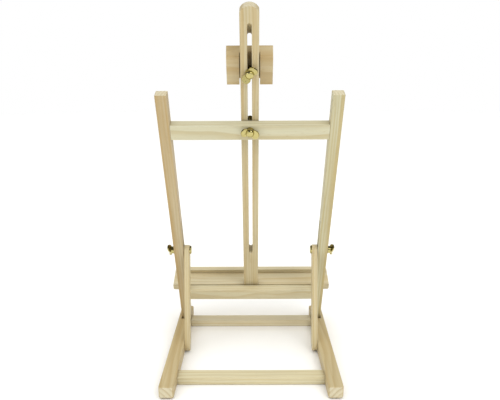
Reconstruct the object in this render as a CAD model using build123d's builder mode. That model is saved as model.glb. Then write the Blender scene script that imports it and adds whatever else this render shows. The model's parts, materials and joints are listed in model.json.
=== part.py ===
from build123d import *
import math
import os

# Tabletop H-frame easel, in millimetres.
# +Z is up, the painter sits on the -Y side, and the easel leans back towards +Y.
# The origin lies on the table, under the middle of the whole easel.
# Left and right are the painter's.

# Base
RAIL_LENGTH = 268.0
RAIL_WIDTH = 22.0
RAIL_HEIGHT = 20.0
RAIL_INNER_X = 110.7
RAIL_TOE_ROUND = 5.5
RAIL_BOTTOM_ROUND = 4.0
RAIL_EDGE_ROUND = 1.2
RAIL_FRONT_Y = -127.4
CROSSBAR_WIDTH = 22.0
CROSSBAR_HEIGHT = 12.0
FRONT_CROSSBAR_SETBACK = 35.0
REAR_CROSSBAR_SETBACK = 47.5
DOWEL_RADIUS = 2.0
DOWEL_LENGTH = 24.0
DOWEL_Z = 3.75
CROSSBAR_DOWEL_SPACING = 11.0

# Post pivot, in a housing cut in the inner side of each base rail
LEAN = 23.35
POST_PIVOT_SETBACK = 34.0
POST_PIVOT_Z = 16.0
PIVOT_RADIUS = 2.0
PIVOT_SINK_RADIUS = 3.4
SINK_HALF_ANGLE = 41.0
RUNNING_CLEARANCE = 0.05
HOUSING_DEPTH = 17.1
HOUSING_FLOOR_Z = 7.5
HOUSING_AHEAD = 8.6
HOUSING_BEHIND = 20.0
PIVOT_SCREW_TIP_GAP = 2.0

# Leaning frame; distances along it are from the post pivot, heights above it from the pivot's plane
POST_WIDTH = 16.5
POST_THICKNESS = 15.5
POST_TOP = 450.0
POST_INNER_X = 111.0
RAIL_STOCK = 22.5
UPPER_RAIL_AT = 393.0
MAST_BOLT_AT = 395.5
UPPER_RAIL_THICKNESS = 15.0
LOWER_RAIL_AT = 64.5
LOWER_RAIL_THICKNESS = 12.5
FRAME_DOWEL_SPACING = 11.0
FRAME_DOWEL_LENGTH = 18.0

# Mast
MAST_WIDTH = 25.0
MAST_THICKNESS = 20.0
MAST_BOTTOM = 46.0
MAST_TOP = 561.0
MAST_CROWN = 7.5
MAST_SHOULDER = 3.5
MAST_GAP = 0.5
SLOT_WIDTH = 6.0
SLOT_BOTTOM = 151.0
SLOT_TOP_REAR = 540.4
SLOT_TOP_FRONT = 521.0
SLOT_SLANT = 60.0

# Canvas ledge
LEDGE_LENGTH = 288.0
LEDGE_DEPTH = 41.0
LEDGE_THICKNESS = 14.0
LEDGE_TOP = 54.6
LEDGE_CORNER = 3.0
BACK_STRIP_TOP = 66.4
BACK_STRIP_THICKNESS = 12.0
BACK_STRIP_GAP = 0.7
LIP_HEIGHT = 8.0
LIP_THICKNESS = 9.0
LIP_HOUSING = 1.5
STRIP_SCREW_EDGE = 4.3
STRIP_SCREW_BITE = 10.0
SHELF_SCREW_SPACING = 60.0
SHELF_SCREW_BITE = 20.0

# Top clamp
CLAMP_WIDTH = 63.0
CLAMP_BOLT_AT = 474.2
CLAMP_FLAT_BOTTOM = 469.4
CLAMP_FLAT_TOP = 490.4
CLAMP_BOTTOM = 450.0
CLAMP_CHAMFER = 11.4
CLAMP_LOWER_BEVEL = 2.5
CLAMP_GROOVE = 4.5
CLAMP_GROOVE_GAP = 1.6
CLAMP_DEPTH = 31.0
CLAMP_MOUTH = 19.0
CLAMP_MOUTH_TOP = 459.4
CLAMP_SINK = 7.0

# Braces
BRACE_PIVOT_BEHIND = 100.0
BRACE_PIVOT_Z = 11.0
BRACE_BOLT_AT = 165.9
BRACE_WIDTH = 17.0
BRACE_THICKNESS = 8.6
BRACE_OUTER_X = 110.4
BRACE_RATIO = 1.385
TILT_FORWARD = 5.0
TILT_BACK = 30.0
TILT_STEP = 5.0

# M5 hardware
BOLT_RADIUS = 2.5
HEAD_RADIUS = 7.0
MAST_HEAD_RADIUS = 5.0
HEAD_HEIGHT = 3.0
WASHER_RADIUS = 6.5
WASHER_THICKNESS = 1.0
CONTACT_GAP = 0.3
NUT_GAP = 0.1
NUT_RADIUS = 6.0
NUT_BARREL = 4.0
NUT_DOME = 4.2
NUT_BORE_DEPTH = 6.4
WING_AT = 8.1
WING_REACH = 5.9
WING_HALF_HEIGHT = 6.2
WING_THICKNESS = 2.0
WING_RISE = 26.0
MAST_NUT_TURN = 168.0
CLAMP_NUT_TURN = 50.0
BRACE_NUT_TURN = 40.0
SCREW_RADIUS = 1.8
SCREW_HEAD_RADIUS = 3.6
SCREW_HEAD_DEPTH = 2.4
CROSS_WIDTH = 1.0
CROSS_DEPTH = 1.3

PIVOT_SINK_DEPTH = (PIVOT_SINK_RADIUS - PIVOT_RADIUS) / math.tan(math.radians(SINK_HALF_ANGLE))
SCREW_SINK_DEPTH = (SCREW_HEAD_RADIUS - SCREW_RADIUS) / math.tan(math.radians(SINK_HALF_ANGLE))
RAIL_OUTER_X = RAIL_INNER_X + RAIL_WIDTH
RAIL_REAR_Y = RAIL_FRONT_Y + RAIL_LENGTH
RAIL_MID_Y = RAIL_FRONT_Y + RAIL_LENGTH / 2
RAIL_MID_X = RAIL_INNER_X + RAIL_WIDTH / 2
FRONT_CROSSBAR_Y = RAIL_FRONT_Y + FRONT_CROSSBAR_SETBACK
REAR_CROSSBAR_Y = RAIL_REAR_Y - REAR_CROSSBAR_SETBACK
PIVOT_Y = RAIL_FRONT_Y + POST_PIVOT_SETBACK
BRACE_PIVOT_Y = PIVOT_Y + BRACE_PIVOT_BEHIND
POST_OUTER_X = POST_INNER_X + POST_WIDTH
POST_MID_X = POST_INNER_X + POST_WIDTH / 2

# The leaning frame's own plane: x is across, y is up along the posts, z is forward out of the frame.
LEAN_RAD = math.radians(LEAN)
ACROSS = Vector(1, 0, 0)
UP_POST = Vector(0, math.sin(LEAN_RAD), math.cos(LEAN_RAD))
FORWARD = Vector(0, -math.cos(LEAN_RAD), math.sin(LEAN_RAD))
frame_plane = Plane(origin=(0, PIVOT_Y, POST_PIVOT_Z), x_dir=(1, 0, 0), z_dir=FORWARD)
REAR_FACE = -POST_THICKNESS / 2
FRONT_FACE = POST_THICKNESS / 2
MAST_REAR = FRONT_FACE + MAST_GAP
MAST_FRONT = MAST_REAR + MAST_THICKNESS
SHELF_REAR = MAST_FRONT
SHELF_FRONT = SHELF_REAR + LEDGE_DEPTH
BACK_STRIP_REAR = SHELF_REAR - BACK_STRIP_THICKNESS
SHELF_BOTTOM = LEDGE_TOP - LEDGE_THICKNESS

FRAME_RAILS = ((UPPER_RAIL_AT, UPPER_RAIL_THICKNESS), (LOWER_RAIL_AT, LOWER_RAIL_THICKNESS))
SLOT_TILTS = [
    -TILT_FORWARD + TILT_STEP * step
    for step in range(int((TILT_FORWARD + TILT_BACK) / TILT_STEP) + 1)
]
SLOT_RADIUS = BOLT_RADIUS + CONTACT_GAP

SPACER_THICKNESS = BACK_STRIP_REAR - FRONT_FACE
STRIP_INNER_X = MAST_WIDTH / 2 + BACK_STRIP_GAP
STRIP_HEIGHT = BACK_STRIP_TOP - SHELF_BOTTOM
STRIP_LENGTH = POST_OUTER_X - STRIP_INNER_X
STRIP_MID_AT = (BACK_STRIP_TOP + SHELF_BOTTOM) / 2
STRIP_MID_X = (POST_OUTER_X + STRIP_INNER_X) / 2
STRIP_SCREW_AT = (BACK_STRIP_TOP + LEDGE_TOP) / 2
STRIP_SCREW_X = POST_OUTER_X - STRIP_SCREW_EDGE
SHELF_SCREW_AT = LEDGE_TOP - LEDGE_THICKNESS / 2
LIP_LENGTH = LEDGE_LENGTH - 2 * LEDGE_CORNER
LIP_FRONT = SHELF_FRONT - LEDGE_CORNER

CLAMP_REAR = MAST_FRONT - CLAMP_GROOVE
CLAMP_FRONT = CLAMP_REAR + CLAMP_DEPTH
CLAMP_TOP = CLAMP_FLAT_TOP + CLAMP_CHAMFER
CLAMP_HEAD_SEAT = CLAMP_FRONT - CLAMP_SINK
BRACE_INNER_X = BRACE_OUTER_X - BRACE_THICKNESS

WING_RUN = math.cos(math.radians(WING_RISE))
WING_CLIMB = math.sin(math.radians(WING_RISE))
NUT_HEIGHT_ON_SEAT = CONTACT_GAP + WASHER_THICKNESS + NUT_GAP
BOLT_TIP = NUT_HEIGHT_ON_SEAT + NUT_BORE_DEPTH - CONTACT_GAP

SIDES = {"left": -1, "right": 1}
os.makedirs("parts", exist_ok=True)


def save(part, label):
    part.label = label
    export_step(part, "parts/" + label + ".step")


def frame_point(across, up, forward):
    """A point given in the leaning frame's own directions."""
    return frame_plane.origin + Vector(across, 0, 0) + UP_POST * up + FORWARD * forward


def side_plane(x):
    """A plane square to X at the given x: its own x is towards the back and its y is up."""
    return Plane(origin=(x, 0, 0), x_dir=(0, 1, 0), z_dir=(1, 0, 0))


# Base rails: a bar with rounded toes at both ends, housed on its inner side for the post's foot
def make_rail(side):
    housing_x = side * (RAIL_INNER_X + HOUSING_DEPTH / 2)
    housing_y = PIVOT_Y + (HOUSING_BEHIND - HOUSING_AHEAD) / 2
    with BuildPart() as rail:
        with BuildSketch(side_plane(side * RAIL_MID_X)):
            with Locations((RAIL_MID_Y, RAIL_HEIGHT / 2)):
                Rectangle(RAIL_LENGTH, RAIL_HEIGHT)
        extrude(amount=RAIL_WIDTH / 2, both=True)
        fillet(rail.edges().filter_by(Axis.X).group_by(Axis.Z)[0], RAIL_TOE_ROUND)
        top_edges = rail.faces().sort_by(Axis.Z)[-1].edges()
        fillet(rail.faces().filter_by(Axis.X).edges() - top_edges, RAIL_BOTTOM_ROUND)
        fillet(rail.faces().sort_by(Axis.Z)[-1].edges(), RAIL_EDGE_ROUND)
        with BuildSketch(Plane.XY.offset(HOUSING_FLOOR_Z)):
            with Locations((housing_x, housing_y)):
                Rectangle(HOUSING_DEPTH, HOUSING_AHEAD + HOUSING_BEHIND)
        extrude(amount=RAIL_HEIGHT, mode=Mode.SUBTRACT)
        with BuildSketch(side_plane(side * RAIL_INNER_X)):
            with Locations((PIVOT_Y, POST_PIVOT_Z)):
                Circle(PIVOT_RADIUS)
        extrude(amount=side * RAIL_WIDTH, mode=Mode.SUBTRACT)
        outer_seat = Plane(origin=(side * RAIL_OUTER_X, PIVOT_Y, POST_PIVOT_Z), z_dir=(side, 0, 0))
        with Locations(outer_seat):
            CounterSinkHole(PIVOT_RADIUS, PIVOT_SINK_RADIUS, RAIL_WIDTH)
        with BuildSketch(side_plane(side * RAIL_INNER_X)):
            with Locations((BRACE_PIVOT_Y, BRACE_PIVOT_Z)):
                Circle(PIVOT_RADIUS)
            with Locations((FRONT_CROSSBAR_Y, DOWEL_Z), (REAR_CROSSBAR_Y, DOWEL_Z)):
                with GridLocations(CROSSBAR_DOWEL_SPACING, 0, 2, 1):
                    Circle(DOWEL_RADIUS)
        extrude(amount=side * DOWEL_LENGTH / 2, mode=Mode.SUBTRACT)
    return rail.part


for name, side in SIDES.items():
    save(make_rail(side), "base_rail_" + name)


# Crossbars, dowelled between the rails
def make_crossbar(bar_y):
    with BuildPart() as crossbar:
        with BuildSketch(Plane.XY):
            with Locations((0, bar_y)):
                Rectangle(2 * RAIL_INNER_X, CROSSBAR_WIDTH)
        extrude(amount=CROSSBAR_HEIGHT)
        fillet(crossbar.edges().filter_by(Axis.X), RAIL_EDGE_ROUND)
        for side in SIDES.values():
            with BuildSketch(side_plane(side * RAIL_INNER_X)):
                with Locations((bar_y, DOWEL_Z)):
                    with GridLocations(CROSSBAR_DOWEL_SPACING, 0, 2, 1):
                        Circle(DOWEL_RADIUS)
            extrude(amount=-side * DOWEL_LENGTH / 2, mode=Mode.SUBTRACT)
    return crossbar.part


save(make_crossbar(FRONT_CROSSBAR_Y), "front_crossbar")
save(make_crossbar(REAR_CROSSBAR_Y), "rear_crossbar")

with BuildPart() as crossbar_dowels:
    for side in SIDES.values():
        with BuildSketch(side_plane(side * RAIL_INNER_X)):
            with Locations((FRONT_CROSSBAR_Y, DOWEL_Z), (REAR_CROSSBAR_Y, DOWEL_Z)):
                with GridLocations(CROSSBAR_DOWEL_SPACING, 0, 2, 1):
                    Circle(DOWEL_RADIUS)
        extrude(amount=DOWEL_LENGTH / 2, both=True)
save(crossbar_dowels.part, "crossbar_dowels")

# Post pivot screws: countersunk from outside, they end inside the post's foot
with BuildPart() as post_pivot_screws:
    for side in SIDES.values():
        with BuildSketch(side_plane(side * (POST_INNER_X + PIVOT_SCREW_TIP_GAP))):
            with Locations((PIVOT_Y, POST_PIVOT_Z)):
                Circle(PIVOT_RADIUS)
        extrude(amount=side * (RAIL_OUTER_X - POST_INNER_X - PIVOT_SCREW_TIP_GAP))
        with BuildSketch(side_plane(side * (RAIL_OUTER_X - PIVOT_SINK_DEPTH))):
            with Locations((PIVOT_Y, POST_PIVOT_Z)):
                Circle(PIVOT_RADIUS)
        with BuildSketch(side_plane(side * RAIL_OUTER_X)):
            with Locations((PIVOT_Y, POST_PIVOT_Z)):
                Circle(PIVOT_SINK_RADIUS)
        loft()
        with BuildSketch(side_plane(side * RAIL_OUTER_X)):
            with Locations((PIVOT_Y, POST_PIVOT_Z)):
                Rectangle(PIVOT_SINK_RADIUS, CROSS_WIDTH)
                Rectangle(CROSS_WIDTH, PIVOT_SINK_RADIUS)
        extrude(amount=-side * CROSS_DEPTH, mode=Mode.SUBTRACT)
save(post_pivot_screws.part, "post_pivot_screws")


# Posts: a round foot on the pivot and a curved slot for the brace bolt
def brace_bolt_in_post(tilt):
    """Where the brace bolt lies in the post, as (forward, up), with the frame tilted back by tilt."""
    rest_bolt = Vector(0, BRACE_BOLT_AT, 0).rotate(Axis.Z, -LEAN)
    brace_pivot = Vector(BRACE_PIVOT_BEHIND, BRACE_PIVOT_Z - POST_PIVOT_Z, 0)
    arm = (rest_bolt - brace_pivot).rotate(Axis.Z, -BRACE_RATIO * tilt)
    bolt = (brace_pivot + arm).rotate(Axis.Z, LEAN + tilt)
    return (-bolt.X, bolt.Y)


def post_side_plane(side):
    """The post's side-on plane at its inner face: x is forward, y is up along the post."""
    return Plane(origin=frame_point(side * POST_INNER_X, 0, 0), x_dir=FORWARD, z_dir=(-1, 0, 0))


def across_rail_end(side, rail_at, thickness):
    """A plane on a post's inner face, centred on the end of a frame rail, normal outward."""
    centre = frame_point(side * POST_INNER_X, rail_at, REAR_FACE + thickness / 2)
    return Plane(origin=centre, x_dir=FORWARD, z_dir=(side, 0, 0))


def make_post(side):
    outward = -side * POST_WIDTH
    with BuildPart() as post:
        with BuildSketch(post_side_plane(side)):
            with Locations((0, POST_TOP / 2)):
                Rectangle(POST_THICKNESS, POST_TOP)
            Circle(POST_THICKNESS / 2)
        extrude(amount=outward)
        long_edges = post.edges().filter_by(lambda edge: edge.length > POST_TOP / 2)
        fillet(long_edges, RAIL_EDGE_ROUND)
        fillet(post.faces().sort_by(Axis.Z)[-1].edges(), RAIL_EDGE_ROUND)
        with BuildSketch(post_side_plane(side)):
            Circle(PIVOT_RADIUS + RUNNING_CLEARANCE)
        extrude(amount=outward, mode=Mode.SUBTRACT)
        with BuildSketch(post_side_plane(side)):
            with BuildLine():
                Spline(*[brace_bolt_in_post(tilt) for tilt in SLOT_TILTS])
            trace(line_width=2 * SLOT_RADIUS)
            with Locations(brace_bolt_in_post(SLOT_TILTS[0]), brace_bolt_in_post(SLOT_TILTS[-1])):
                Circle(SLOT_RADIUS)
        extrude(amount=outward, mode=Mode.SUBTRACT)
        for rail_at, thickness in FRAME_RAILS:
            with BuildSketch(across_rail_end(side, rail_at, thickness)):
                with GridLocations(0, FRAME_DOWEL_SPACING, 1, 2):
                    Circle(DOWEL_RADIUS)
            extrude(amount=FRAME_DOWEL_LENGTH / 2, mode=Mode.SUBTRACT)
        with BuildSketch(frame_plane.offset(FRONT_FACE)):
            with Locations((side * STRIP_SCREW_X, STRIP_SCREW_AT)):
                Circle(SCREW_RADIUS)
        extrude(amount=-STRIP_SCREW_BITE, mode=Mode.SUBTRACT)
    return post.part


for name, side in SIDES.items():
    save(make_post(side), "post_" + name)


# Frame rails, flush with the posts' rear faces
def make_frame_rail(rail_at, thickness, bolt_at=None):
    with BuildPart() as rail:
        with BuildSketch(frame_plane.offset(REAR_FACE)):
            with Locations((0, rail_at)):
                Rectangle(2 * POST_INNER_X, RAIL_STOCK)
        extrude(amount=thickness)
        fillet(rail.edges().filter_by(Axis.X), RAIL_EDGE_ROUND / 2)
        for side in SIDES.values():
            with BuildSketch(across_rail_end(side, rail_at, thickness)):
                with GridLocations(0, FRAME_DOWEL_SPACING, 1, 2):
                    Circle(DOWEL_RADIUS)
            extrude(amount=-FRAME_DOWEL_LENGTH / 2, mode=Mode.SUBTRACT)
        if bolt_at:
            with BuildSketch(frame_plane.offset(REAR_FACE)):
                with Locations((0, bolt_at)):
                    Circle(BOLT_RADIUS)
            extrude(amount=thickness, mode=Mode.SUBTRACT)
    return rail.part


save(make_frame_rail(UPPER_RAIL_AT, UPPER_RAIL_THICKNESS, MAST_BOLT_AT), "upper_rail")
save(make_frame_rail(LOWER_RAIL_AT, LOWER_RAIL_THICKNESS), "lower_rail")

with BuildPart() as frame_dowels:
    for side in SIDES.values():
        for rail_at, thickness in FRAME_RAILS:
            with BuildSketch(across_rail_end(side, rail_at, thickness)):
                with GridLocations(0, FRAME_DOWEL_SPACING, 1, 2):
                    Circle(DOWEL_RADIUS)
            extrude(amount=FRAME_DOWEL_LENGTH / 2, both=True)
save(frame_dowels.part, "frame_dowels")


# Canvas ledge: spacers on the posts carry two back strips, and the shelf is screwed to the strips
def make_spacer(side):
    with BuildPart() as spacer:
        with BuildSketch(frame_plane.offset(FRONT_FACE)):
            with Locations((side * POST_MID_X, STRIP_MID_AT)):
                Rectangle(POST_WIDTH, STRIP_HEIGHT)
            with Locations((side * STRIP_SCREW_X, STRIP_SCREW_AT)):
                Circle(SCREW_RADIUS, mode=Mode.SUBTRACT)
        extrude(amount=SPACER_THICKNESS)
    return spacer.part


def make_back_strip(side):
    with BuildPart() as strip:
        with BuildSketch(frame_plane.offset(BACK_STRIP_REAR)):
            with Locations((side * STRIP_MID_X, STRIP_MID_AT)):
                Rectangle(STRIP_LENGTH, STRIP_HEIGHT)
        extrude(amount=BACK_STRIP_THICKNESS)
        fillet(strip.edges().filter_by(Axis.X).group_by(Axis.Z)[-1], RAIL_EDGE_ROUND / 2)
        with Locations(frame_plane.offset(SHELF_REAR)):
            with Locations((side * STRIP_SCREW_X, STRIP_SCREW_AT)):
                CounterSinkHole(SCREW_RADIUS, SCREW_HEAD_RADIUS, BACK_STRIP_THICKNESS)
        with BuildSketch(frame_plane.offset(BACK_STRIP_REAR)):
            with Locations((side * STRIP_MID_X, SHELF_SCREW_AT)):
                with GridLocations(SHELF_SCREW_SPACING, 0, 2, 1):
                    Circle(SCREW_RADIUS)
        extrude(amount=BACK_STRIP_THICKNESS, mode=Mode.SUBTRACT)
    return strip.part


for name, side in SIDES.items():
    save(make_spacer(side), "ledge_spacer_" + name)
    save(make_back_strip(side), "ledge_back_strip_" + name)

with BuildPart() as shelf:
    with BuildSketch(frame_plane.offset(SHELF_REAR)):
        with Locations((0, SHELF_SCREW_AT)):
            RectangleRounded(LEDGE_LENGTH, LEDGE_THICKNESS, LEDGE_CORNER)
    extrude(amount=LEDGE_DEPTH)
    front_edges = shelf.faces().sort_by(Axis.Y)[0].edges()
    fillet(front_edges, RAIL_EDGE_ROUND)
    with BuildSketch(frame_plane.offset(LIP_FRONT - LIP_THICKNESS)):
        with Locations((0, LEDGE_TOP)):
            Rectangle(LIP_LENGTH, 2 * LIP_HOUSING)
    extrude(amount=LIP_THICKNESS, mode=Mode.SUBTRACT)
    for side in SIDES.values():
        with BuildSketch(frame_plane.offset(SHELF_REAR)):
            with Locations((side * STRIP_MID_X, SHELF_SCREW_AT)):
                with GridLocations(SHELF_SCREW_SPACING, 0, 2, 1):
                    Circle(SCREW_RADIUS)
        extrude(amount=SHELF_SCREW_BITE, mode=Mode.SUBTRACT)
save(shelf.part, "ledge_shelf")

with BuildPart() as lip:
    with BuildSketch(frame_plane.offset(LIP_FRONT - LIP_THICKNESS)):
        with Locations((0, LEDGE_TOP + (LIP_HEIGHT - LIP_HOUSING) / 2)):
            Rectangle(LIP_LENGTH, LIP_HEIGHT + LIP_HOUSING)
    extrude(amount=LIP_THICKNESS)
    fillet(lip.edges().filter_by(Axis.X).group_by(Axis.Z)[-1], LEDGE_CORNER / 2)
save(lip.part, "ledge_lip")

with BuildPart() as strip_screws:
    for side in SIDES.values():
        with BuildSketch(frame_plane.offset(SHELF_REAR)):
            with Locations((side * STRIP_SCREW_X, STRIP_SCREW_AT)):
                Circle(SCREW_RADIUS)
        extrude(amount=-(BACK_STRIP_THICKNESS + SPACER_THICKNESS + STRIP_SCREW_BITE))
        with BuildSketch(frame_plane.offset(SHELF_REAR)):
            with Locations((side * STRIP_SCREW_X, STRIP_SCREW_AT)):
                Circle(SCREW_HEAD_RADIUS)
        with BuildSketch(frame_plane.offset(SHELF_REAR - SCREW_SINK_DEPTH)):
            with Locations((side * STRIP_SCREW_X, STRIP_SCREW_AT)):
                Circle(SCREW_RADIUS)
        loft()
        with BuildSketch(frame_plane.offset(SHELF_REAR)):
            with Locations((side * STRIP_SCREW_X, STRIP_SCREW_AT)):
                Rectangle(SCREW_HEAD_RADIUS, CROSS_WIDTH)
                Rectangle(CROSS_WIDTH, SCREW_HEAD_RADIUS)
        extrude(amount=-CROSS_DEPTH, mode=Mode.SUBTRACT)
save(strip_screws.part, "ledge_strip_screws")

with BuildPart() as shelf_screws:
    for side in SIDES.values():
        with BuildSketch(frame_plane.offset(BACK_STRIP_REAR)):
            with Locations((side * STRIP_MID_X, SHELF_SCREW_AT)):
                with GridLocations(SHELF_SCREW_SPACING, 0, 2, 1):
                    Circle(SCREW_RADIUS)
        extrude(amount=BACK_STRIP_THICKNESS + SHELF_SCREW_BITE)
        with BuildSketch(frame_plane.offset(BACK_STRIP_REAR)):
            with Locations((side * STRIP_MID_X, SHELF_SCREW_AT)):
                with GridLocations(SHELF_SCREW_SPACING, 0, 2, 1):
                    Circle(SCREW_HEAD_RADIUS)
        extrude(amount=-SCREW_HEAD_DEPTH)
        with BuildSketch(frame_plane.offset(BACK_STRIP_REAR - SCREW_HEAD_DEPTH)):
            with Locations((side * STRIP_MID_X, SHELF_SCREW_AT)):
                with GridLocations(SHELF_SCREW_SPACING, 0, 2, 1):
                    Rectangle(SCREW_HEAD_RADIUS, CROSS_WIDTH)
                    Rectangle(CROSS_WIDTH, SCREW_HEAD_RADIUS)
        extrude(amount=CROSS_DEPTH, mode=Mode.SUBTRACT)
save(shelf_screws.part, "ledge_shelf_screws")

# Mast: a slotted bar with a crowned top; the slot's upper end runs through at a slant
with BuildPart() as mast:
    with BuildSketch(frame_plane.offset(MAST_REAR)):
        with BuildLine():
            half = MAST_WIDTH / 2
            shoulder = MAST_TOP - MAST_CROWN
            Polyline((half, shoulder), (half, MAST_BOTTOM), (-half, MAST_BOTTOM), (-half, shoulder))
            ThreePointArc((-half, shoulder), (0, MAST_TOP), (half, shoulder))
        make_face()
    extrude(amount=MAST_THICKNESS)
    shoulders = mast.edges().filter_by(lambda edge: abs(edge.length - MAST_THICKNESS) < CONTACT_GAP)
    fillet(shoulders.sort_by(Axis.Z)[-2:], MAST_SHOULDER)
    fillet(mast.edges().filter_by(lambda edge: edge.length > MAST_TOP / 2), RAIL_EDGE_ROUND)
    with BuildSketch(frame_plane.offset(MAST_REAR)):
        with Locations((0, (SLOT_BOTTOM + SLOT_TOP_FRONT) / 2)):
            SlotOverall(SLOT_TOP_FRONT - SLOT_BOTTOM, SLOT_WIDTH, rotation=90)
    extrude(amount=MAST_THICKNESS, mode=Mode.SUBTRACT)
    with BuildSketch(frame_plane.offset(MAST_REAR)):
        with Locations((0, SLOT_TOP_REAR - SLOT_SLANT / 2)):
            SlotOverall(SLOT_SLANT, SLOT_WIDTH, rotation=90)
    slant = FORWARD * MAST_THICKNESS - UP_POST * (SLOT_TOP_REAR - SLOT_TOP_FRONT)
    extrude(amount=slant.length, dir=slant, mode=Mode.SUBTRACT)
save(mast.part, "mast")

# Clamp block: grooved to ride on the mast, with a mouth over the canvas's top edge
with BuildPart() as clamp_block:
    clamp_side = Plane(origin=frame_point(CLAMP_WIDTH / 2, 0, 0), x_dir=FORWARD, z_dir=(-1, 0, 0))
    with BuildSketch(clamp_side):
        with BuildLine():
            Polyline(
                (CLAMP_REAR, CLAMP_FLAT_BOTTOM),
                (CLAMP_REAR, CLAMP_FLAT_TOP),
                (CLAMP_REAR + CLAMP_CHAMFER, CLAMP_TOP),
                (CLAMP_FRONT, CLAMP_FLAT_TOP),
                (CLAMP_FRONT, CLAMP_BOTTOM + CLAMP_LOWER_BEVEL),
                (CLAMP_FRONT - CLAMP_LOWER_BEVEL, CLAMP_BOTTOM),
                (MAST_FRONT + CLAMP_MOUTH, CLAMP_BOTTOM),
                (MAST_FRONT + CLAMP_MOUTH, CLAMP_MOUTH_TOP),
                (MAST_FRONT, CLAMP_MOUTH_TOP),
                (MAST_FRONT, CLAMP_BOTTOM),
                (CLAMP_REAR + CLAMP_LOWER_BEVEL, CLAMP_BOTTOM),
                close=True,
            )
        make_face()
    extrude(amount=CLAMP_WIDTH)
    fillet(clamp_block.faces().sort_by(Axis.X)[0].edges().sort_by(Axis.Z)[-3:], RAIL_EDGE_ROUND)
    fillet(clamp_block.faces().sort_by(Axis.X)[-1].edges().sort_by(Axis.Z)[-3:], RAIL_EDGE_ROUND)
    with BuildSketch(frame_plane.offset(MAST_FRONT + CONTACT_GAP)):
        with Locations((0, CLAMP_FLAT_BOTTOM)):
            Rectangle(MAST_WIDTH + 2 * CLAMP_GROOVE_GAP, 2 * CLAMP_WIDTH)
    extrude(amount=-MAST_THICKNESS, mode=Mode.SUBTRACT)
    with BuildSketch(frame_plane.offset(MAST_REAR)):
        with Locations((0, CLAMP_BOLT_AT)):
            Circle(BOLT_RADIUS)
    extrude(amount=CLAMP_FRONT - MAST_REAR, mode=Mode.SUBTRACT)
    with BuildSketch(frame_plane.offset(CLAMP_HEAD_SEAT)):
        with Locations((0, CLAMP_BOLT_AT)):
            Circle(HEAD_RADIUS + 2 * CONTACT_GAP)
    extrude(amount=CLAMP_SINK, mode=Mode.SUBTRACT)
save(clamp_block.part, "clamp_block")


# Braces: pivoted on the base rails, bolted through the posts' slots
BRACE_BOLT = frame_point(0, BRACE_BOLT_AT, 0)
BRACE_FOOT_YZ = (BRACE_PIVOT_Y, BRACE_PIVOT_Z)
BRACE_FOOT = Vector(0, *BRACE_FOOT_YZ)


def make_brace(side):
    middle = (BRACE_BOLT + BRACE_FOOT) * 0.5
    reach = BRACE_BOLT - BRACE_FOOT
    slope = math.degrees(math.atan2(reach.Z, reach.Y))
    with BuildPart() as brace:
        with BuildSketch(side_plane(side * BRACE_INNER_X)):
            with Locations((middle.Y, middle.Z)):
                SlotCenterToCenter(reach.length, BRACE_WIDTH, rotation=slope)
            with Locations((BRACE_BOLT.Y, BRACE_BOLT.Z)):
                Circle(BOLT_RADIUS, mode=Mode.SUBTRACT)
        extrude(amount=side * BRACE_THICKNESS)
        inner_face = brace.faces().sort_by(Axis.X)[0 if side > 0 else -1]
        fillet(inner_face.outer_wire().edges(), RAIL_EDGE_ROUND)
        with Locations(Plane(origin=(side * BRACE_INNER_X, *BRACE_FOOT_YZ), z_dir=(-side, 0, 0))):
            CounterSinkHole(
                PIVOT_RADIUS + RUNNING_CLEARANCE,
                PIVOT_SINK_RADIUS + RUNNING_CLEARANCE,
                BRACE_THICKNESS,
            )
    return brace.part


for name, side in SIDES.items():
    save(make_brace(side), "brace_" + name)

# Brace pivot screws: flush in the braces' inner faces
with BuildPart() as brace_pivot_screws:
    for side in SIDES.values():
        with BuildSketch(side_plane(side * BRACE_INNER_X)):
            with Locations(BRACE_FOOT_YZ):
                Circle(PIVOT_RADIUS)
        extrude(amount=side * (RAIL_INNER_X + DOWEL_LENGTH / 2 - BRACE_INNER_X))
        with BuildSketch(side_plane(side * BRACE_INNER_X)):
            with Locations(BRACE_FOOT_YZ):
                Circle(PIVOT_SINK_RADIUS)
        with BuildSketch(side_plane(side * (BRACE_INNER_X + PIVOT_SINK_DEPTH))):
            with Locations(BRACE_FOOT_YZ):
                Circle(PIVOT_RADIUS)
        loft()
        with BuildSketch(side_plane(side * BRACE_INNER_X)):
            with Locations(BRACE_FOOT_YZ):
                Rectangle(PIVOT_SINK_RADIUS, CROSS_WIDTH)
                Rectangle(CROSS_WIDTH, PIVOT_SINK_RADIUS)
        extrude(amount=side * CROSS_DEPTH, mode=Mode.SUBTRACT)
save(brace_pivot_screws.part, "brace_pivot_screws")


# Clamping hardware. A seat plane has its origin on the bolt's axis and its normal towards the wing nut.
def make_bolt(seat, head_at, tip_at, head_radius=HEAD_RADIUS):
    """A round-headed bolt: its head's underside and its tip are heights along the seat's normal."""
    with BuildPart() as bolt:
        with BuildSketch(seat.offset(head_at)):
            Circle(BOLT_RADIUS)
        extrude(amount=tip_at - head_at)
        with BuildSketch(seat.offset(head_at)):
            Circle(head_radius)
        extrude(amount=-HEAD_HEIGHT)
        head_circles = bolt.edges().filter_by(GeomType.CIRCLE).group_by(SortBy.RADIUS)[-1]
        crown = head_circles.sort_by(Axis(seat.origin, seat.z_dir))[0]
        fillet(crown, HEAD_HEIGHT * 0.8)
    return bolt.part


def make_washer(seat, height):
    with BuildPart() as washer:
        with BuildSketch(seat.offset(height)):
            Circle(WASHER_RADIUS)
            Circle(BOLT_RADIUS, mode=Mode.SUBTRACT)
        extrude(amount=WASHER_THICKNESS)
    return washer.part


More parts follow.
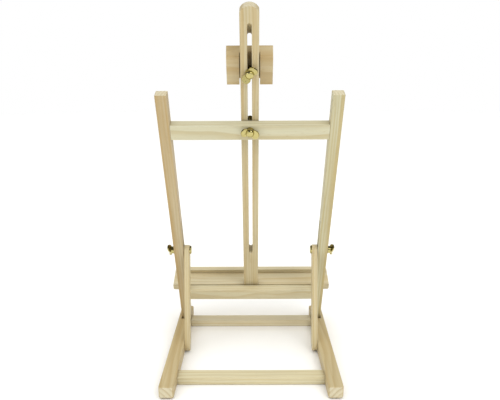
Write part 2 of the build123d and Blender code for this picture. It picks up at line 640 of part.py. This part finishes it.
def make_wing_nut(seat, height, turn):
    """A cap nut with a domed middle and two round wings that rise away from the wood."""
    across_wings = seat.x_dir.rotate(Axis((0, 0, 0), seat.z_dir), turn - 90)
    base = Plane(origin=seat.offset(height).origin, x_dir=across_wings, z_dir=seat.z_dir)
    top = NUT_BARREL + NUT_DOME
    with BuildPart() as nut:
        for radial in (base.y_dir, -base.y_dir):
            wing_plane = Plane(
                origin=base.origin + base.z_dir * (NUT_BARREL / 2),
                x_dir=radial * WING_RUN + base.z_dir * WING_CLIMB,
                z_dir=base.z_dir * WING_RUN - radial * WING_CLIMB,
            )
            with BuildSketch(wing_plane):
                with Locations((WING_AT, 0)):
                    Ellipse(WING_REACH, WING_HALF_HEIGHT)
            extrude(amount=WING_THICKNESS / 2, both=True)
        with BuildSketch(Plane(origin=base.origin, x_dir=base.x_dir, z_dir=-base.y_dir)):
            with BuildLine():
                Polyline((0, top), (0, 0), (NUT_RADIUS, 0), (NUT_RADIUS, NUT_BARREL))
                RadiusArc((NUT_RADIUS, NUT_BARREL), (NUT_RADIUS - NUT_DOME, top), -NUT_DOME)
                Line((NUT_RADIUS - NUT_DOME, top), (0, top))
            make_face()
        revolve(axis=Axis(base.origin, base.z_dir))
        with BuildSketch(base):
            Circle(BOLT_RADIUS + RUNNING_CLEARANCE)
        extrude(amount=NUT_BORE_DEPTH, mode=Mode.SUBTRACT)
    return nut.part


rail_seat = Plane(origin=frame_point(0, MAST_BOLT_AT, REAR_FACE), x_dir=ACROSS, z_dir=-FORWARD)
mast_bolt_head = REAR_FACE - MAST_FRONT - CONTACT_GAP
save(make_bolt(rail_seat, mast_bolt_head, BOLT_TIP, MAST_HEAD_RADIUS), "mast_bolt")
save(make_washer(rail_seat, CONTACT_GAP), "mast_washer")
save(make_wing_nut(rail_seat, NUT_HEIGHT_ON_SEAT, MAST_NUT_TURN), "mast_wing_nut")

clamp_seat = Plane(origin=frame_point(0, CLAMP_BOLT_AT, MAST_REAR), x_dir=ACROSS, z_dir=-FORWARD)
save(make_bolt(clamp_seat, MAST_REAR - CLAMP_HEAD_SEAT, BOLT_TIP), "clamp_bolt")
save(make_washer(clamp_seat, CONTACT_GAP), "clamp_washer")
save(make_wing_nut(clamp_seat, NUT_HEIGHT_ON_SEAT, CLAMP_NUT_TURN), "clamp_wing_nut")

for name, side in SIDES.items():
    seat_centre = BRACE_BOLT + ACROSS * (side * POST_OUTER_X)
    post_seat = Plane(origin=seat_centre, x_dir=(0, 1, 0), z_dir=ACROSS * side)
    save(make_bolt(post_seat, BRACE_INNER_X - POST_OUTER_X, BOLT_TIP), "brace_bolt_" + name)
    save(make_washer(post_seat, CONTACT_GAP), "brace_washer_" + name)
    save(make_wing_nut(post_seat, NUT_HEIGHT_ON_SEAT, side * BRACE_NUT_TURN), "brace_wing_nut_" + name)
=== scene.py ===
import json
import math

import bpy
from mathutils import Matrix, Vector


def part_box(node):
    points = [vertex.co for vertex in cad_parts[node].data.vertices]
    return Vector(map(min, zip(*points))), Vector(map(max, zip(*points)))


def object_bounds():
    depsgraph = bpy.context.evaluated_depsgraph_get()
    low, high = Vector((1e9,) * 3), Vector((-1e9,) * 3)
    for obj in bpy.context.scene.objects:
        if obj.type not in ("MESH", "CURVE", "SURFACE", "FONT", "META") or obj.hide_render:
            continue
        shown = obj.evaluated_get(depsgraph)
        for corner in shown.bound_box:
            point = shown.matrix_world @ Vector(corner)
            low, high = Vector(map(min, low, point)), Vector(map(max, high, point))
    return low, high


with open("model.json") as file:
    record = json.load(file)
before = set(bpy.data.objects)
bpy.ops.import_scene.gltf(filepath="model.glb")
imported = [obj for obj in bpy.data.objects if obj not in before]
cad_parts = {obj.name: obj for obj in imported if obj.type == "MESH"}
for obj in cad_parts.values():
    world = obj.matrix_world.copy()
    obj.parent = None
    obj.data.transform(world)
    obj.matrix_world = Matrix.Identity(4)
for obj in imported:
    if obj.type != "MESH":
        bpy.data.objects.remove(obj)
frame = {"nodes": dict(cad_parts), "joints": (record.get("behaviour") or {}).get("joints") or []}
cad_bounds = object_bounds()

# Tabletop easel seen from behind, in metres. +Z is up, the easel leans back towards +Y.
JOINTS = {joint["name"]: joint for joint in frame["joints"]}
ACROSS = Vector((1, 0, 0))
BACK = Vector((0, 1, 0))
UP = Vector((0, 0, 1))
UP_POST = Vector(JOINTS["mast_slide"]["axis"]).normalized()
FORWARD = -Vector(JOINTS["mast_nut_turn"]["axis"]).normalized()

# Camera: behind the easel, a little above its middle and looking down
CAMERA_SPOT = Vector((-0.0030, 0.7910, 0.4533))
CAMERA_TURN = math.radians(0.27)
CAMERA_DROP = math.radians(13.70)
CAMERA_ROLL = math.radians(-0.27)
CAMERA_LENS = 37.15
SENSOR_WIDTH = 36.0

# Pine: late wood and heartwood as shares of a piece's own tone, and the colours of end grain,
# painted shade in crevices, and flecks
LATE_SHARE = (0.74, 0.62, 0.44)
HEART_SHARE = (0.84, 0.68, 0.44)
END_WOOD = (0.660, 0.615, 0.455, 1.0)
PAINTED_CREVICE_SHADE = (0.160, 0.090, 0.036, 1.0)
FLECK_WOOD = (0.62, 0.45, 0.28, 1.0)

# How far the edge of a band of heartwood colour wavers (on the clamp block that band is painted light), and
# how far the grain is shifted along itself from piece to piece
BAND_WAVER = 0.006
SEED_STEP = 0.731

# Metals: the colours of the plate and of its tarnish
BRASS = (0.53, 0.46, 0.19, 1.0)
BRASS_TARNISH = (0.13, 0.10, 0.03, 1.0)
BRASS_ROUGHNESS = 0.16
ZINC = (0.62, 0.60, 0.56, 1.0)
ZINC_TARNISH = (0.30, 0.28, 0.25, 1.0)
ZINC_ROUGHNESS = 0.36

FLOOR_RADIUS = 6.0


def shade(tone, share):
    return tuple(a * b for a, b in zip(tone, share)) + (1.0,)


# Node helpers
def add_node(tree, kind, inputs=None, **settings):
    made = tree.nodes.new("ShaderNode" + kind)
    for name, value in settings.items():
        setattr(made, name, value)
    for name, value in (inputs or {}).items():
        plug(tree, made.inputs[name], value)
    return made


def plug(tree, socket, value):
    """Links value into the socket if it is another node's output, or sets it as a constant."""
    if isinstance(value, bpy.types.NodeSocket):
        tree.links.new(value, socket)
    else:
        socket.default_value = value


def maths(tree, operation, *values, clamp=False):
    made = add_node(tree, "Math", operation=operation, use_clamp=clamp)
    for socket, value in zip(made.inputs, values):
        plug(tree, socket, value)
    return made.outputs[0]


def noise(tree, vector, stretch, detail=2.0, rough=0.5):
    """Noise whose features are 1 / stretch metres long along each axis."""
    scaled = add_node(tree, "VectorMath", {0: vector, 1: stretch}, operation="MULTIPLY")
    inputs = {"Vector": scaled.outputs[0], "Scale": 1.0, "Detail": detail, "Roughness": rough}
    made = add_node(tree, "TexNoise", inputs)
    return made.outputs["Fac"]


def blend_colour(tree, share, first, second, mode="MIX"):
    made = add_node(tree, "Mix", data_type="RGBA", blend_type=mode)
    plug(tree, made.inputs["Factor"], share)
    plug(tree, made.inputs[6], first)
    plug(tree, made.inputs[7], second)
    return made.outputs[2]


def ramp(tree, value, low, high):
    """A soft step from 0 at low to 1 at high."""
    inputs = {"Value": value, "From Min": low, "From Max": high}
    made = add_node(tree, "MapRange", inputs, interpolation_type="SMOOTHSTEP")
    return made.outputs["Result"]


def group_input(tree, name, kind, value):
    socket = tree.interface.new_socket(name, in_out="INPUT", socket_type="NodeSocket" + kind)
    socket.default_value = value


def make_pine_group():
    """Sawn pine: growth rings round a pith, fibres, warm streaks, resin flecks, end grain, and painted shade
    that darkens its crevices.

    Its vector runs in metres, with z along the grain, and x and y across the board."""
    tree = bpy.data.node_groups.new("pine", "ShaderNodeTree")
    group_input(tree, "Vector", "Vector", (0, 0, 0))
    group_input(tree, "Pith", "Vector", (0, 0, 0))
    group_input(tree, "Ring width", "Float", 0.003)
    group_input(tree, "Warp", "Float", 0.004)
    for name in ("Early", "Late", "Heart", "End"):
        group_input(tree, name, "Color", (0.5, 0.5, 0.5, 1.0))
    group_input(tree, "End share", "Float", 0.0)
    group_input(tree, "Streaks", "Float", 0.5)
    group_input(tree, "Band at", "Float", 0.0)
    group_input(tree, "Band width", "Float", 0.003)
    group_input(tree, "Band strength", "Float", 0.0)
    for name, kind in (("Color", "Color"), ("Roughness", "Float"), ("Height", "Float")):
        tree.interface.new_socket(name, in_out="OUTPUT", socket_type="NodeSocket" + kind)
    given = tree.nodes.new("NodeGroupInput").outputs
    result = tree.nodes.new("NodeGroupOutput").inputs
    vector = given["Vector"]

    # Growth rings: distance from the pith, bent by slow noise along the board
    from_pith = add_node(tree, "VectorMath", {0: vector, 1: given["Pith"]}, operation="SUBTRACT")
    flat = add_node(tree, "VectorMath", {0: from_pith.outputs[0], 1: (1, 1, 0)}, operation="MULTIPLY")
    radius = add_node(tree, "VectorMath", {0: flat.outputs[0]}, operation="LENGTH").outputs["Value"]
    slow = maths(tree, "SUBTRACT", noise(tree, vector, (9, 9, 3.4), 1.0), 0.5)
    quick = maths(tree, "SUBTRACT", noise(tree, vector, (60, 60, 14), 2.0), 0.5)
    bend = maths(tree, "MULTIPLY_ADD", quick, 0.18, slow)
    radius = maths(tree, "MULTIPLY_ADD", bend, maths(tree, "MULTIPLY", given["Warp"], 2.0), radius)
    turn = maths(tree, "DIVIDE", radius, given["Ring width"])
    season = maths(tree, "FRACT", turn)
    rise = ramp(tree, season, 0.30, 0.86)
    fall = ramp(tree, season, 0.90, 0.99)
    year = maths(tree, "FLOOR", turn)
    year_look = add_node(tree, "TexWhiteNoise", {"W": year}, noise_dimensions="1D").outputs["Value"]
    year_share = maths(tree, "MULTIPLY_ADD", year_look, 0.45, 0.30)
    ring = maths(tree, "MULTIPLY", maths(tree, "SUBTRACT", rise, fall), year_share)
    ring = maths(tree, "MULTIPLY", ring, maths(tree, "MULTIPLY_ADD", given["End share"], -0.20, 0.85))

    # Fibres and warmer streaks run along the board
    fibre = noise(tree, vector, (760, 760, 16), 3.0, 0.6)
    wide_streak = ramp(tree, noise(tree, vector, (105, 105, 3.2), 2.0, 0.55), 0.42, 0.72)
    fine_streak = ramp(tree, noise(tree, vector, (330, 330, 5), 2.0, 0.6), 0.50, 0.68)
    streak = maths(tree, "MULTIPLY_ADD", fine_streak, 0.55, maths(tree, "MULTIPLY", wide_streak, 0.75))
    streak = maths(tree, "MINIMUM", maths(tree, "MULTIPLY", streak, given["Streaks"]), 1.0)
    patch = noise(tree, vector, (22, 22, 7), 2.0)
    fleck = ramp(tree, noise(tree, vector, (1250, 1250, 70), 1.0), 0.69, 0.76)
    pores = ramp(tree, noise(tree, vector, (1500, 1500, 1500), 1.0), 0.58, 0.70)

    # A band of heartwood colour with a wavering edge; on the clamp block it is painted light on the top
    # chamfer
    across = add_node(tree, "SeparateXYZ", {0: vector}).outputs["X"]
    waver = maths(tree, "SUBTRACT", noise(tree, vector, (30, 30, 6), 2.0), 0.5)
    waver = maths(tree, "MULTIPLY", waver, BAND_WAVER)
    off_band = maths(tree, "SUBTRACT", maths(tree, "ADD", across, waver), given["Band at"])
    off_band = maths(tree, "ABSOLUTE", off_band)
    off_band = maths(tree, "DIVIDE", off_band, given["Band width"])
    inside_band = maths(tree, "SUBTRACT", 1.0, off_band, clamp=True)
    band = maths(tree, "MULTIPLY", ramp(tree, inside_band, 0.0, 0.6), given["Band strength"])

    colour = blend_colour(tree, ring, given["Early"], given["Late"])
    colour = blend_colour(tree, streak, colour, given["Heart"])
    colour = blend_colour(tree, band, colour, given["Heart"])
    end_colour = blend_colour(tree, ring, given["End"], given["Late"])
    pore_share = maths(tree, "MULTIPLY", pores, 0.30)
    end_colour = blend_colour(tree, pore_share, end_colour, given["Late"], "MULTIPLY")
    colour = blend_colour(tree, given["End share"], colour, end_colour)
    fibre_light = maths(tree, "MULTIPLY_ADD", fibre, 0.26, 0.87)
    patch_light = maths(tree, "MULTIPLY_ADD", patch, 0.24, 0.88)
    light = add_node(tree, "CombineColor")
    for socket in light.inputs:
        plug(tree, socket, maths(tree, "MULTIPLY", fibre_light, patch_light))
    colour = blend_colour(tree, 1.0, colour, light.outputs[0], "MULTIPLY")
    colour = blend_colour(tree, maths(tree, "MULTIPLY", fleck, 0.45), colour, FLECK_WOOD, "MULTIPLY")

    # Painted shade darkens crevices and the gaps between parts; arrises are worn
    hollow = add_node(tree, "AmbientOcclusion", {"Distance": 0.005}, samples=6).outputs["AO"]
    crevice = ramp(tree, hollow, 0.78, 0.10)
    colour = blend_colour(tree, maths(tree, "MULTIPLY", crevice, 0.75), colour, PAINTED_CREVICE_SHADE)
    proud = add_node(tree, "AmbientOcclusion", {"Distance": 0.0016}, samples=6, inside=True).outputs["AO"]
    arris = ramp(tree, proud, 0.55, 0.92)
    worn = maths(tree, "MULTIPLY", arris, maths(tree, "MULTIPLY_ADD", patch, 0.6, 0.05))
    colour = blend_colour(tree, maths(tree, "MULTIPLY", worn, 0.6), colour, given["Heart"])

    rough = maths(tree, "MULTIPLY_ADD", fibre, 0.16, 0.42)
    rough = maths(tree, "MULTIPLY_ADD", ring, -0.10, rough)
    height = maths(tree, "MULTIPLY_ADD", ring, 0.45, maths(tree, "MULTIPLY", fibre, 0.55))
    height = maths(tree, "MULTIPLY_ADD", fleck, -0.35, height)
    plug(tree, result["Color"], colour)
    plug(tree, result["Roughness"], rough)
    plug(tree, result["Height"], height)
    return tree


PINE = make_pine_group()


def new_material(name):
    material = bpy.data.materials.new(name)
    material.use_nodes = True
    material.node_tree.nodes.clear()
    return material, material.node_tree


def finish_material(tree, shader):
    output = add_node(tree, "OutputMaterial")
    tree.links.new(shader.outputs[0], output.inputs["Surface"])


def pine_material(name, along, face, seed, tone, pith=(0.07, 0.01), ring=0.0030, warp=0.004,
                  streaks=0.5, band=None):
    """Pine with its grain along one direction. face is the board's main face; pith is across and under it.

    band is the place, half width and strength of a band of heartwood, across the board from its middle; on
    the clamp block the band is painted light on its top chamfer."""
    along = Vector(along).normalized()
    face = Vector(face)
    face = (face - along * face.dot(along)).normalized()
    across = face.cross(along)
    material, tree = new_material(name)
    coordinates = add_node(tree, "TexCoord").outputs
    turned = add_node(tree, "Mapping", {"Vector": coordinates["Object"]})
    turned.inputs["Rotation"].default_value = Matrix((across, face, along)).to_euler("XYZ")
    turned.inputs["Location"].default_value = (0, 0, SEED_STEP * seed)
    facing = add_node(tree, "VectorMath", {0: coordinates["Normal"], 1: along}, operation="DOT_PRODUCT")
    end_share = ramp(tree, maths(tree, "ABSOLUTE", facing.outputs["Value"]), 0.75, 0.92)
    centre = Matrix((across, face, along)) @ piece_centre(name)
    wood = tree.nodes.new("ShaderNodeGroup")
    wood.node_tree = PINE
    values = {
        "Vector": turned.outputs[0],
        "Pith": (centre.x + pith[0], centre.y + pith[1], 0),
        "Ring width": ring,
        "Warp": warp,
        "Early": tone + (1.0,),
        "Late": shade(tone, LATE_SHARE),
        "Heart": shade(tone, HEART_SHARE),
        "End": END_WOOD,
        "End share": end_share,
        "Streaks": streaks,
    }
    if band:
        values["Band at"] = centre.x + band[0]
        values["Band width"], values["Band strength"] = band[1:]
    for socket, value in values.items():
        plug(tree, wood.inputs[socket], value)
    bump = add_node(tree, "Bump", {"Height": wood.outputs["Height"], "Strength": 0.35, "Distance": 0.0002})
    shader = add_node(tree, "BsdfPrincipled", {
        "Base Color": wood.outputs["Color"],
        "Roughness": wood.outputs["Roughness"],
    })
    shader.inputs["Specular IOR Level"].default_value = 0.32
    shader.inputs["Coat Weight"].default_value = 0.06
    shader.inputs["Coat Roughness"].default_value = 0.35
    tree.links.new(bump.outputs[0], shader.inputs["Normal"])
    finish_material(tree, shader)
    return material


def piece_centre(name):
    low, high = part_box(name)
    return (low + high) / 2


def metal_material(name, colour, tarnish, rough, scratch=0.10):
    """Plated metal: tarnish in its corners, a varied polish and fine scratches."""
    material, tree = new_material(name)
    vector = add_node(tree, "TexCoord").outputs["Object"]
    cloud = noise(tree, vector, (240, 240, 240), 3.0, 0.6)
    grain = noise(tree, vector, (2600, 2600, 2600), 2.0, 0.6)
    lines = noise(tree, vector, (500, 6500, 900), 2.0, 0.6)
    hollow = add_node(tree, "AmbientOcclusion", {"Distance": 0.004}, samples=6).outputs["AO"]
    crevice = ramp(tree, hollow, 0.80, 0.15)
    crevice_stain = maths(tree, "MULTIPLY", crevice, 0.65)
    stain = maths(tree, "MULTIPLY_ADD", ramp(tree, cloud, 0.48, 0.75), 0.35, crevice_stain)
    mixed = blend_colour(tree, maths(tree, "MINIMUM", stain, 1.0), colour, tarnish)
    roughness = maths(tree, "MULTIPLY_ADD", cloud, 0.22, rough - 0.08)
    roughness = maths(tree, "MULTIPLY_ADD", stain, 0.20, roughness, clamp=True)
    height = maths(tree, "MULTIPLY_ADD", lines, 0.5, grain)
    bump = add_node(tree, "Bump", {"Height": height, "Strength": scratch, "Distance": 0.00008})
    shader = add_node(tree, "BsdfPrincipled", {
        "Base Color": mixed,
        "Roughness": roughness,
        "Normal": bump.outputs[0],
    })
    shader.inputs["Metallic"].default_value = 1.0
    finish_material(tree, shader)
    return material


# The grain direction and look of each wooden node
REAR = -FORWARD
BRACE_ALONG = {}
for side in ("left", "right"):
    foot = Vector(JOINTS[side + "_brace_swing"]["pos_m"])
    head = Vector(JOINTS[side + "_brace_nut_turn"]["pos_m"])
    BRACE_ALONG[side] = (head - foot) * Vector((0, 1, 1))

RAIL_TONE = (0.515, 0.438, 0.262)
FRONT_CROSSBAR_TONE = (0.650, 0.620, 0.480)
REAR_CROSSBAR_TONE = (0.640, 0.610, 0.440)
LEFT_POST_TONE = (0.540, 0.528, 0.372)
RIGHT_POST_TONE = (0.500, 0.432, 0.286)
UPPER_RAIL_TONE = (0.588, 0.576, 0.425)
LOWER_RAIL_TONE = (0.618, 0.582, 0.418)
MAST_TONE = (0.545, 0.490, 0.325)
LEDGE_TONE = (0.602, 0.558, 0.402)
CLAMP_TONE = (0.560, 0.480, 0.305)
BRACE_TONE = (0.600, 0.540, 0.360)
DOWEL_TONE = (0.480, 0.360, 0.210)
wooden = {
    "base_rail_left": dict(along=BACK, face=UP, tone=RAIL_TONE, pith=(0.03, -0.03), ring=0.0064, warp=0.009),
    "base_rail_right": dict(along=BACK, face=UP, tone=RAIL_TONE,
        pith=(-0.03, -0.03), ring=0.0064, warp=0.009),
    "front_crossbar": dict(along=ACROSS, face=UP, tone=FRONT_CROSSBAR_TONE, pith=(0.03, 0.03), ring=0.004),
    "rear_crossbar": dict(along=ACROSS, face=UP, tone=REAR_CROSSBAR_TONE,
        pith=(0.02, 0.03), ring=0.005, warp=0.006),
    "crossbar_dowels": dict(along=ACROSS, face=UP, tone=DOWEL_TONE),
    "frame_dowels": dict(along=ACROSS, face=UP, tone=DOWEL_TONE),
    "post_left": dict(along=UP_POST, face=REAR, tone=LEFT_POST_TONE,
        pith=(0.05, 0.012), ring=0.0042, warp=0.007, streaks=0.8, band=(-0.0065, 0.0035, 0.7)),
    "post_right": dict(along=UP_POST, face=REAR, tone=RIGHT_POST_TONE,
        pith=(-0.05, 0.012), ring=0.0042, warp=0.007, streaks=0.8, band=(0.0065, 0.0035, 0.8)),
    "upper_rail": dict(along=ACROSS, face=REAR, tone=UPPER_RAIL_TONE,
        pith=(0.02, -0.06), ring=0.005, warp=0.006, streaks=0.25),
    "lower_rail": dict(along=ACROSS, face=REAR, tone=LOWER_RAIL_TONE,
        pith=(0.004, -0.024), ring=0.0042, warp=0.016, streaks=0.3),
    "ledge_spacer_left": dict(along=UP_POST, face=REAR, tone=LEDGE_TONE),
    "ledge_spacer_right": dict(along=UP_POST, face=REAR, tone=LEDGE_TONE),
    "ledge_back_strip_left": dict(along=ACROSS, face=REAR, tone=LEDGE_TONE, pith=(0.03, 0.02), ring=0.004),
    "ledge_back_strip_right": dict(along=ACROSS, face=REAR, tone=LEDGE_TONE, pith=(0.03, 0.02), ring=0.004),
    "ledge_shelf": dict(along=ACROSS, face=UP_POST, tone=LEDGE_TONE,
        pith=(0.01, -0.04), ring=0.005, warp=0.012),
    "ledge_lip": dict(along=ACROSS, face=FORWARD, tone=LEDGE_TONE, pith=(0.04, 0.03)),
    "mast": dict(along=UP_POST, face=REAR, tone=MAST_TONE,
        pith=(0.04, 0.02), ring=0.004, warp=0.006, streaks=0.7, band=(0.009, 0.002, 0.45)),
    # The clamp block's band is painted light: a warmer tone on its up-facing top chamfer
    "clamp_block": dict(along=ACROSS, face=REAR, tone=CLAMP_TONE,
        pith=(0.012, -0.045), ring=0.0045, warp=0.008, band=(-0.020, 0.007, 0.45)),
    "brace_left": dict(along=BRACE_ALONG["left"], face=ACROSS, tone=BRACE_TONE,
        pith=(0.03, 0.03), streaks=0.5),
    "brace_right": dict(along=BRACE_ALONG["right"], face=-ACROSS, tone=BRACE_TONE,
        pith=(0.03, 0.03), streaks=0.5),
}

brass = metal_material("brass_plate", BRASS, BRASS_TARNISH, BRASS_ROUGHNESS)
zinc = metal_material("zinc_plate", ZINC, ZINC_TARNISH, ZINC_ROUGHNESS)

for number, (name, look) in enumerate(sorted(wooden.items())):
    frame["nodes"][name].material_slots[0].material = pine_material(name, seed=number + 1, **look)
for name, node in frame["nodes"].items():
    if name in wooden:
        continue
    node.material_slots[0].material = zinc if "screws" in name else brass


# Studio: a pale floor, a pale surround and soft lights
def make_floor():
    bpy.ops.mesh.primitive_circle_add(vertices=96, radius=FLOOR_RADIUS, fill_type="NGON", location=(0, 0, 0))
    floor = bpy.context.object
    floor.name = "floor"
    material, tree = new_material("pale_floor")
    vector = add_node(tree, "TexCoord").outputs["Object"]
    speckle = noise(tree, vector, (40, 40, 40), 3.0)
    tone = blend_colour(tree, speckle, (0.93, 0.93, 0.93, 1.0), (0.96, 0.96, 0.96, 1.0))
    shader = add_node(tree, "BsdfPrincipled", {"Base Color": tone, "Roughness": 0.8})
    shader.inputs["Specular IOR Level"].default_value = 0.1
    finish_material(tree, shader)
    floor.data.materials.append(material)


def make_surround():
    """White to the camera, a bright sky of soft light to the wood, and a darker studio in reflections."""
    world = bpy.data.worlds.new("surround")
    bpy.context.scene.world = world
    world.use_nodes = True
    tree = world.node_tree
    tree.nodes.clear()
    direction = add_node(tree, "TexCoord").outputs["Generated"]
    height = add_node(tree, "SeparateXYZ", {0: direction}).outputs["Z"]
    soft_level = maths(tree, "MULTIPLY_ADD", ramp(tree, height, -0.05, 0.75), 0.65, 0.60)
    mirror_level = maths(tree, "MULTIPLY_ADD", ramp(tree, height, 0.42, 0.05), 0.62, 0.05)
    path = add_node(tree, "LightPath").outputs
    level = add_node(tree, "Mix", {0: path["Is Glossy Ray"], 2: soft_level, 3: mirror_level}).outputs[0]
    studio = add_node(tree, "CombineColor", {0: level, 1: level, 2: maths(tree, "MULTIPLY", level, 0.98)})
    colour = blend_colour(tree, path["Is Camera Ray"], studio.outputs[0], (1.0, 1.0, 1.0, 1.0))
    background = add_node(tree, "Background", {"Color": colour, "Strength": 1.0})
    output = add_node(tree, "OutputWorld")
    tree.links.new(background.outputs[0], output.inputs["Surface"])


def make_light(name, spot, aim, size, power, colour=(1, 1, 1)):
    data = bpy.data.lights.new(name, "AREA")
    data.shape = "RECTANGLE"
    data.size, data.size_y = size
    data.energy = power
    data.color = colour
    light = bpy.data.objects.new(name, data)
    bpy.context.scene.collection.objects.link(light)
    light.location = spot
    light.rotation_mode = "QUATERNION"
    light.rotation_quaternion = (Vector(aim) - Vector(spot)).to_track_quat("-Z", "Y")


def make_camera():
    data = bpy.data.cameras.new("camera")
    data.sensor_width = SENSOR_WIDTH
    data.lens = CAMERA_LENS
    camera = bpy.data.objects.new("camera", data)
    bpy.context.scene.collection.objects.link(camera)
    look = Vector((
        math.sin(CAMERA_TURN) * math.cos(CAMERA_DROP),
        -math.cos(CAMERA_TURN) * math.cos(CAMERA_DROP),
        -math.sin(CAMERA_DROP),
    ))
    level = Vector((-math.cos(CAMERA_TURN), -math.sin(CAMERA_TURN), 0))
    lift = level.cross(look)
    right = level * math.cos(CAMERA_ROLL) + lift * math.sin(CAMERA_ROLL)
    top = lift * math.cos(CAMERA_ROLL) - level * math.sin(CAMERA_ROLL)
    turned = Matrix((right, top, -look)).transposed().to_4x4()
    camera.matrix_world = Matrix.Translation(CAMERA_SPOT) @ turned
    bpy.context.scene.camera = camera


low, high = cad_bounds
middle = (Vector(low) + Vector(high)) / 2
make_floor()
make_surround()
make_light("key", (-0.75, 1.25, 1.35), middle, (0.7, 0.7), 7.0, (1.0, 0.985, 0.96))
make_light("fill", (1.1, 0.9, 0.75), middle, (0.7, 0.7), 2.5, (0.97, 0.985, 1.0))
make_light("front", (0.2, -1.4, 1.3), middle, (1.4, 1.0), 2.0)
make_camera()
bpy.context.scene.view_settings.view_transform = "Standard"
